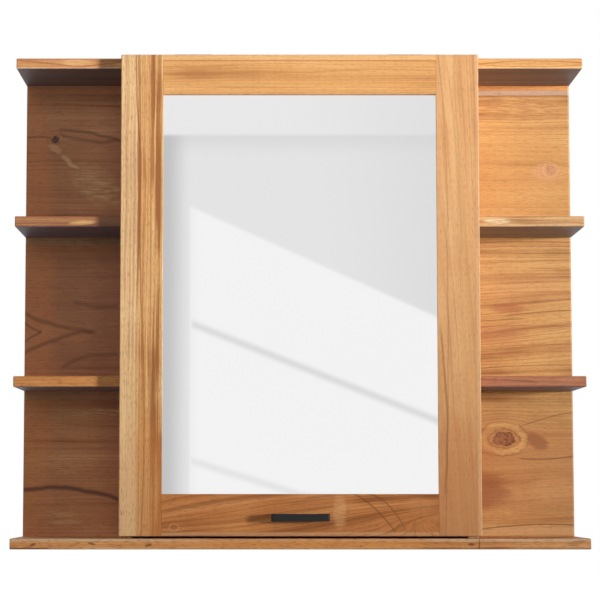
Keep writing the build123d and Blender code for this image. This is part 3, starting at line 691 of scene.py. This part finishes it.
# %% [markdown]
# ## Mirror and metal
#
# The mirror is silvered glass: a smooth metal that is nearly white. The pull is powder coated,
# which is black with a very fine orange-peel skin. The hinges and brackets are zinc plated, so
# their grey is slightly cloudy. The mirror could be a sheet of glass over a layer of silver, but
# the two together look like one smooth metal, which renders faster and without noise. The rest is
# the same shader with other settings, and a little noise in colour and roughness keeps flat plastic
# from looking like plain paint.


# %% Mirror, metal, plastic and rubber
def mirror_silver():
    material, tree, shader, (x, y, z) = new_material("mirror_silver")
    cloud = noise(vector(x * 6, y * 6, z * 6), 1, 0.5)
    plug(tree, mix(cloud.step(0.3, 0.7), (0.955, 0.957, 0.957, 1), (0.962, 0.962, 0.960, 1)),
         shader.inputs["Base Color"])
    shader.inputs["Metallic"].default_value = 1.0
    shader.inputs["Roughness"].default_value = 0.015
    return material


def powder_black():
    material, tree, shader, (x, y, z) = new_material("powder_black")
    grain = noise(vector(x * 2200, y * 2200, z * 2200), 1, 0.5)
    dust = noise(vector(x * 60, y * 60, z * 60), 2, 0.5)
    plug(tree, mix(dust.step(0.3, 0.8), tint(12, 11, 11), tint(22, 20, 20)), shader.inputs["Base Color"])
    plug(tree, 0.45 + grain * 0.15, shader.inputs["Roughness"])
    shader.inputs["Specular IOR Level"].default_value = 0.3
    relief(tree, shader, grain, 0.00003)
    return material


def zinc_plate(name, pale, dark):
    material, tree, shader, (x, y, z) = new_material(name)
    cloud = noise(vector(x * 160, y * 160, z * 160), 3, 0.6)
    rub = noise(vector(x * 70, y * 2600, z * 2600), 1, 0.5)
    plug(tree, mix(cloud.step(0.3, 0.7), dark, pale), shader.inputs["Base Color"])
    shader.inputs["Metallic"].default_value = 1.0
    plug(tree, 0.26 + cloud * 0.14 + rub * 0.08, shader.inputs["Roughness"])
    relief(tree, shader, rub, 0.00001)
    return material


def plain_plastic(name, colour, second, rough):
    material, tree, shader, (x, y, z) = new_material(name)
    speck = noise(vector(x * 900, y * 900, z * 900), 2, 0.5)
    plug(tree, mix(speck.step(0.35, 0.65), colour, second), shader.inputs["Base Color"])
    plug(tree, rough + (speck - 0.5) * 0.12, shader.inputs["Roughness"])
    relief(tree, shader, speck, 0.00002)
    return material


def pressed_board():
    material, tree, shader, (x, y, z) = new_material("pressed_board")
    fluff = noise(vector(x * 700, y * 700, z * 700), 3, 0.65)
    cloud = noise(vector(x * 14, y * 14, z * 14), 2, 0.5)
    colour = mix(fluff.step(0.35, 0.65), tint(96, 66, 44), tint(140, 102, 72))
    plug(tree, mix(cloud.step(0.35, 0.65) * 0.4, colour, tint(116, 80, 54)), shader.inputs["Base Color"])
    plug(tree, 0.6 + fluff * 0.2, shader.inputs["Roughness"])
    relief(tree, shader, fluff, 0.0001)
    return material


finish_node("mirror_glass", mirror_silver())
finish_node("pull_handle", powder_black())
zinc = zinc_plate("zinc_plate", (0.62, 0.62, 0.60, 1), (0.48, 0.49, 0.48, 1))
bright_rod = zinc_plate("polished_rod", (0.72, 0.72, 0.72, 1), (0.62, 0.63, 0.64, 1))
black_tube = plain_plastic("painted_tube", tint(22, 22, 23), tint(30, 30, 31), 0.32)
black_nylon = plain_plastic("black_nylon", tint(24, 24, 25), tint(32, 32, 33), 0.5)
rubber = plain_plastic("bumper_rubber", tint(206, 204, 196), tint(220, 218, 212), 0.4)
beech = plain_plastic("beech_dowel", tint(214, 178, 138), tint(196, 158, 116), 0.6)
finish_node("mirror_backing", pressed_board())
finish_node("door_bumpers", rubber)
finish_node("carcass_dowels", beech)
finish_node("shelf_dowels", beech)
for side in ("left", "right"):
    for part in ("hinge_case_leaf", "hinge_door_leaf", "hinge_pin",
                 "strut_case_bracket", "strut_door_bracket"):
        finish_node(f"{side}_{part}", zinc)
    for part in ("strut_rod", "strut_upper_ball"):
        finish_node(f"{side}_{part}", bright_rod)
    finish_node(f"{side}_strut_tube", black_tube)
    for part in ("strut_lower_socket", "strut_upper_socket"):
        finish_node(f"{side}_{part}", black_nylon)
for node in ("shelf_pins", "back_screws", "handle_screws", "hinge_case_screws", "hinge_door_screws",
             "strut_case_screws", "strut_door_screws"):
    finish_node(node, zinc)
print("mirror and metal finished")

# %% [markdown]
# ## Screws and panel pins
#
# The solids hold every screw as a plain plug. Here they become cross-head wood screws. Their places
# could be typed in, but it is safer to measure them: a node is split into its loose solids, and
# each one tells where its head is, which way it faces and how long it is.


# %% Find the plain screws
def separate_solids(node):
    """The corner points of each loose solid in a node."""
    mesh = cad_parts[node].data
    keys = [tuple(round(value, 5) for value in vertex.co) for vertex in mesh.vertices]
    leader = {key: key for key in keys}

    def first(key):
        while leader[key] != key:
            leader[key] = leader[leader[key]]
            key = leader[key]
        return key

    for edge in mesh.edges:
        one, two = (first(keys[index]) for index in edge.vertices)
        leader[max(one, two)] = min(one, two)
    solids = {}
    for key in sorted(leader):
        solids.setdefault(first(key), []).append(Vector(key))
    return [solids[key] for key in sorted(solids)]


def measure_screw(points):
    """Where a plain screw's head is, which way it faces, and its sizes."""
    low = Vector(min(point[i] for point in points) for i in range(3))
    high = Vector(max(point[i] for point in points) for i in range(3))
    axis = max(range(3), key=lambda i: high[i] - low[i])
    length = high[axis] - low[axis]
    middle = (low + high) / 2

    def reach(end):
        ring = [point for point in points if abs(point[axis] - end) < length * 0.02]
        across = [Vector(c for i, c in enumerate(point - middle) if i != axis) for point in ring]
        return max(arm.length for arm in across)

    heads_up = reach(high[axis]) > reach(low[axis])
    face = middle.copy()
    face[axis] = high[axis] if heads_up else low[axis]
    out = Vector((0, 0, 0))
    out[axis] = 1 if heads_up else -1
    return face, out, max(reach(high[axis]), reach(low[axis])), length


print("plain screws in the bay backs:", len(separate_solids("back_screws")))


# %% [markdown]
# ## One cross-head screw
#
# The head is a short cone and its rim is broken by a small bevel. The shank is the bottom face
# pushed down in two steps, and the last one shrinks to a point. A dark cross on the head would look
# right from far away, but here the driver's recess is really cut, by two tapered bars that cross.
# The pull's screws have a domed head instead, which is the same cone with straight sides and a
# rounder rim.


# %% Shape one cross-head screw
def select_faces(obj, test):
    """Selects the faces whose middle and normal pass a test, and stays in edit mode."""
    bpy.ops.object.mode_set(mode="EDIT")
    bpy.ops.mesh.select_mode(type="FACE")
    bpy.ops.mesh.select_all(action="DESELECT")
    bpy.ops.object.mode_set(mode="OBJECT")
    for face in obj.data.polygons:
        face.select = test(face.center, face.normal)
    bpy.ops.object.mode_set(mode="EDIT")


def driver_bar(head, turn):
    """One of the two crossed bars that cut the recess, narrower at its lower end."""
    bpy.ops.mesh.primitive_cube_add(size=1, location=(0, 0, 0))
    bar = bpy.context.object
    bar.scale = (head * 1.05, head * 0.26, head * 1.1)
    bar.rotation_euler = (0, 0, turn)
    bpy.ops.object.transform_apply(location=True, rotation=True, scale=True)
    select_faces(bar, lambda middle, normal: normal.z < -0.9)
    bpy.ops.transform.resize(value=(0.45, 0.45, 1), center_override=(0, 0, -head * 0.55))
    bpy.ops.object.mode_set(mode="OBJECT")
    return bar


def cross_head_screw(name, head, neck, depth, length, domed=False):
    """A screw with its head's face at z = 0 and its point below."""
    bpy.ops.object.select_all(action="DESELECT")
    bpy.ops.mesh.primitive_cone_add(vertices=40, radius1=head if domed else neck, radius2=head,
                                    depth=depth, location=(0, 0, -depth / 2))
    screw = bpy.context.object
    screw.name = name
    bpy.ops.object.transform_apply(location=True, rotation=True, scale=True)
    rim, rounds = (0.45, 4) if domed else (0.10, 2)
    select_faces(screw, lambda middle, normal: normal.z > 0.9)
    bpy.ops.mesh.bevel(offset=depth * rim, segments=rounds, affect="EDGES")
    if domed:
        select_faces(screw, lambda middle, normal: normal.z < -0.9)
        bpy.ops.mesh.inset(thickness=head - neck)
    select_faces(screw, lambda middle, normal: normal.z < -0.9 and middle.xy.length < neck * 0.2)
    for share in (0.78, 0.21):
        down = (0, 0, -(length - depth) * share)
        bpy.ops.mesh.extrude_region_move(TRANSFORM_OT_translate={"value": down})
    bpy.ops.transform.resize(value=(0.15, 0.15, 1), center_override=(0, 0, -length))
    bpy.ops.object.mode_set(mode="OBJECT")

    bars = [driver_bar(head, turn) for turn in (0, math.pi / 2)]
    for bar in bars:
        cut = screw.modifiers.new("recess", "BOOLEAN")
        cut.operation = "DIFFERENCE"
        cut.object = bar
        bpy.context.view_layer.objects.active = screw
        bpy.ops.object.modifier_apply(modifier=cut.name)
        bpy.data.objects.remove(bar)
    bpy.ops.object.select_all(action="DESELECT")
    screw.select_set(True)
    bpy.context.view_layer.objects.active = screw
    bpy.ops.object.shade_smooth_by_angle(angle=math.radians(35))
    return screw


def put_copies(model, places, name, body, material, node=None):
    """Copies a finished model to each place, with its face turned outwards."""
    for number, (face, out) in enumerate(places, 1):
        copy = bpy.data.objects.new(f"{name}_{number}", model.data.copy())
        turn = out.to_track_quat("Z", "Y").to_matrix().to_4x4()
        copy.data.transform(turn)
        copy.data.transform(Matrix.Translation(face))
        copy.data.materials.clear()
        copy.data.materials.append(material)
        bpy.context.scene.collection.objects.link(copy)
        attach(copy, body)
        if node:
            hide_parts(node)
    bpy.data.objects.remove(model)
    print(name, "copies:", len(places))


print("screw tools ready")


# %% [markdown]
# ## Swap every plain screw
#
# One screw is shaped for each node of the solids, at the size that was measured there, and is
# copied to every place where a plain one sat. Each copy has its own mesh, so it could be changed
# alone, and it rides the body that its plain screw belongs to.

# %% Swap every plain screw
bright_zinc = zinc_plate("bright_zinc", (0.70, 0.70, 0.68, 1), (0.56, 0.57, 0.56, 1))
screw_bodies = {"back_screws": "carcass", "hinge_case_screws": "carcass", "strut_case_screws": "carcass",
                "hinge_door_screws": "door", "strut_door_screws": "door", "handle_screws": "door"}
for node, body in screw_bodies.items():
    found = [measure_screw(points) for points in separate_solids(node)]
    head, length = found[0][2:]
    domed = node == "handle_screws"
    neck, depth = head * 0.48, head * (0.60 if domed else 0.58)
    model = cross_head_screw(node + "_model", head, neck, depth, length, domed)
    places = [screw[:2] for screw in found]
    put_copies(model, places, node[:-1], body, bright_zinc, node)

# %% [markdown]
# ## Panel pins
#
# Beads that hold a glass are pinned, not screwed. Only the pins' small domed heads show, so a head
# is all that is made: a ball cut in half and pressed flatter. Four pins sit along each bead, with
# the outer ones near its ends, where a bead would lift first.


# %% Panel pins in the beads
pin_radius = 0.0009
pin_flatness = 0.45
pin_shares = (0.08, 0.36, 0.64, 0.92)


def panel_pin():
    """The domed head of a thin pin, with its flat side at z = 0."""
    bpy.ops.object.select_all(action="DESELECT")
    bpy.ops.mesh.primitive_uv_sphere_add(segments=20, ring_count=12, radius=pin_radius,
                                         location=(0, 0, 0))
    pin = bpy.context.object
    bpy.ops.object.mode_set(mode="EDIT")
    bpy.ops.mesh.select_all(action="SELECT")
    bpy.ops.mesh.bisect(plane_co=(0, 0, 0), plane_no=(0, 0, 1), use_fill=True, clear_inner=True)
    bpy.ops.transform.resize(value=(1, 1, pin_flatness))
    bpy.ops.object.mode_set(mode="OBJECT")
    bpy.ops.object.shade_smooth_by_angle(angle=math.radians(50))
    return pin


pin_places = []
for bead, along in (("bead_left", 2), ("bead_right", 2), ("bead_top", 0), ("bead_bottom", 0)):
    low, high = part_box(bead)
    for share in pin_shares:
        place = (low + high) / 2
        place[along] = low[along] + (high[along] - low[along]) * share
        place.y = high.y
        pin_places.append((place, Vector((0, 1, 0))))
put_copies(panel_pin(), pin_places, "bead_pin", "door", bright_zinc)

# %% [markdown]
# ## Light
#
# One large soft lamp stands far to the right and a little above, so the door throws the left bays
# into shade and the right bays glow. A weak lamp in front opens the shade, and another behind
# lights the back. The whole light could come from the sky instead, but then no side would be in
# shade. The lamps stay at a plain level, so a colour comes out about as it was written.

# %% Lamps
def lamp(name, kind, place, aim, power, **settings):
    """A lamp at a place, turned towards its aim."""
    data = bpy.data.lights.new(name, kind)
    data.energy = power
    for key, value in settings.items():
        setattr(data, key, value)
    obj = bpy.data.objects.new(name, data)
    obj.location = place
    obj.rotation_euler = (Vector(aim) - Vector(place)).to_track_quat("-Z", "Y").to_euler()
    bpy.context.scene.collection.objects.link(obj)
    return obj


cabinet_middle = (0.0, -0.08, 0.0)
key_aim = (0.0, -0.1, 0.45)
key_far = 8.0
key_turn = math.radians(54)
key_rise = math.radians(3.2)
key_place = (key_far * math.sin(key_turn) * math.cos(key_rise),
             -key_far * math.cos(key_turn) * math.cos(key_rise), key_far * math.sin(key_rise))
lamp("key_lamp", "SPOT", key_place, key_aim, 3900,
     spot_size=math.radians(16.4), spot_blend=1.0, shadow_soft_size=0.6)
fill = lamp("fill_lamp", "AREA", (-0.6, -4.0, 0.9), cabinet_middle, 36,
            shape="DISK", size=2.4, color=(0.92, 0.97, 1.0))
behind = lamp("behind_lamp", "AREA", (-1.6, 4.0, 1.2), cabinet_middle, 60, shape="DISK", size=2.4)
for soft_lamp in (fill, behind):
    soft_lamp.visible_glossy = False
print("lamps placed")

# %% [markdown]
# ## The room that the mirror sees
#
# The background is plain white. The mirror needs something to show, so rays that bounce off gloss
# see a pale room instead: a ceiling edge, a corner, and window light that falls across the wall
# with the shadows of two bars. It is drawn by direction, as how far each ray runs sideways and
# upwards for every metre that it runs back. Walls and a window could be built instead, but they
# would also change the light on the cabinet and show in the background. Rays that only carry light
# see a dim grey, so the lamps stay in charge.


# %% World
def grey(level):
    return tint(level, level, level)


def room_light():
    world = bpy.data.worlds.new("studio")
    bpy.context.scene.world = world
    world.use_nodes = True
    tree = world.node_tree
    shader = tree.nodes["Background"]
    source = tree.nodes.new("ShaderNodeTexCoord")
    split = tree.nodes.new("ShaderNodeSeparateXYZ")
    tree.links.new(source.outputs["Generated"], split.inputs[0])
    x, y, z = (Field(tree, socket) for socket in split.outputs)
    back = (-y).math("MAXIMUM", 0.05)
    across, up = x / back, z / back

    corner, ceiling = -0.0390, 0.1890
    sun_slope, sun_height = 0.4514, 0.1334
    tone = mix(across.step(0.02, 0.12), grey(232), grey(223))
    tone = mix((up - ceiling).step(-0.012, 0.0) * 0.7, tone, grey(218))
    sunlit = (up + across * sun_slope - sun_height).step(0.0012, -0.0012)
    sunlit = sunlit * across.step(corner - 0.0006, corner + 0.0006)
    sunny = mix(across.step(corner, corner + 0.006), grey(243), grey(247))
    tone = mix(sunlit, tone, sunny)
    for height, slope, level in ((0.0738, 0.3956, 222), (0.0051, 0.3100, 232)):
        bar = (up + across * slope - height).hill(0.0036) * across.step(corner, corner + 0.002)
        tone = mix(bar, tone, grey(level))
    shade = across.step(corner + 0.001, corner - 0.0135) * across.step(-0.20, -0.052)
    tone = mix(shade, tone, grey(197))
    above = mix(across.step(0.0, 0.10), grey(237), grey(229))
    tone = mix((up - ceiling).step(-0.0006, 0.0010), tone, above)
    plain = (across.size().step(0.25, 0.6) + up.size().step(0.3, 0.8)).math("MINIMUM", 1.0)
    tone = mix(plain, tone, grey(238))
    tone = mix(y.step(-0.05, 0.05), tone, grey(248))

    rays = tree.nodes.new("ShaderNodeLightPath")
    straight = Field(tree, rays.outputs["Is Camera Ray"])
    seen = straight.math("MAXIMUM", Field(tree, rays.outputs["Is Transmission Ray"]))
    glossy = Field(tree, rays.outputs["Is Glossy Ray"])
    dim = (0.082, 0.086, 0.095, 1)
    colour = mix(seen, mix(glossy, dim, tone), (1, 1, 1, 1))
    plug(tree, colour, shader.inputs["Color"])
    shader.inputs["Strength"].default_value = 1.0


room_light()
print("room ready")

# %% [markdown]
# ## The floor
#
# A plain pale floor lies well below the cabinet. It could be painted white and lit until it glows,
# but that light would bounce back up on the wood. So it is a middle grey for rays that carry light,
# and glows for rays that are seen, straight on or in gloss or glass. The glow makes it as white as
# the background, and leaves hardly any of the cabinet's shadow.


# %% Floor
floor_size = 40
floor_height = -1.25
floor_glow = 0.93


def studio_floor():
    bpy.ops.object.select_all(action="DESELECT")
    bpy.ops.mesh.primitive_plane_add(size=floor_size, location=(0, 0, floor_height))
    floor = bpy.context.object
    floor.name = "studio_floor"
    material, tree, shader, _ = new_material("pale_floor")
    shader.inputs["Base Color"].default_value = (0.3, 0.3, 0.3, 1)
    shader.inputs["Roughness"].default_value = 0.9
    rays = tree.nodes.new("ShaderNodeLightPath")
    seen = Field(tree, rays.outputs["Is Camera Ray"])
    for ray in ("Is Glossy Ray", "Is Transmission Ray"):
        seen = seen.math("MAXIMUM", Field(tree, rays.outputs[ray]))
    plug(tree, seen * floor_glow, shader.inputs["Emission Strength"])
    shader.inputs["Emission Color"].default_value = (1, 1, 1, 1)
    floor.data.materials.append(material)


studio_floor()
bpy.context.scene.view_settings.view_transform = "Standard"
print("floor ready")
